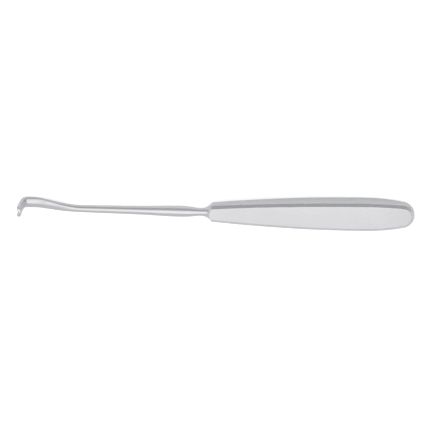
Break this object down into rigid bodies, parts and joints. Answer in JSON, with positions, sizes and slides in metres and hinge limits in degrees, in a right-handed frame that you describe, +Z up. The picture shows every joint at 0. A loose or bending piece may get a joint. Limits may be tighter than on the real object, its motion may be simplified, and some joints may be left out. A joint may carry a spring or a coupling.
{
  "type": "handheld surgical retractor",
  "caption": "One-piece stainless steel hand retractor: flat bevelled handle, round spindle shank and a slim saddle-backed blade whose end stands up as a blunt hook, for holding back a vein or nerve.",
  "frame": {"origin": "middle of the flat on the underside of the handle", "axes": "+X along the handle to its rounded end, +Y across the handle, +Z up, the way the hook's lip points; the instrument lies at rest on the back of its blade and the end of its handle, so the handle is pitched 1.7 degrees"},
  "size_m": [0.2, 0.0154, 0.0152],
  "materials": {
    "satin_steel": "satin"
  },
  "bodies": {
    "root": {"retractor": "satin_steel"}
  },
  "joints": []
}
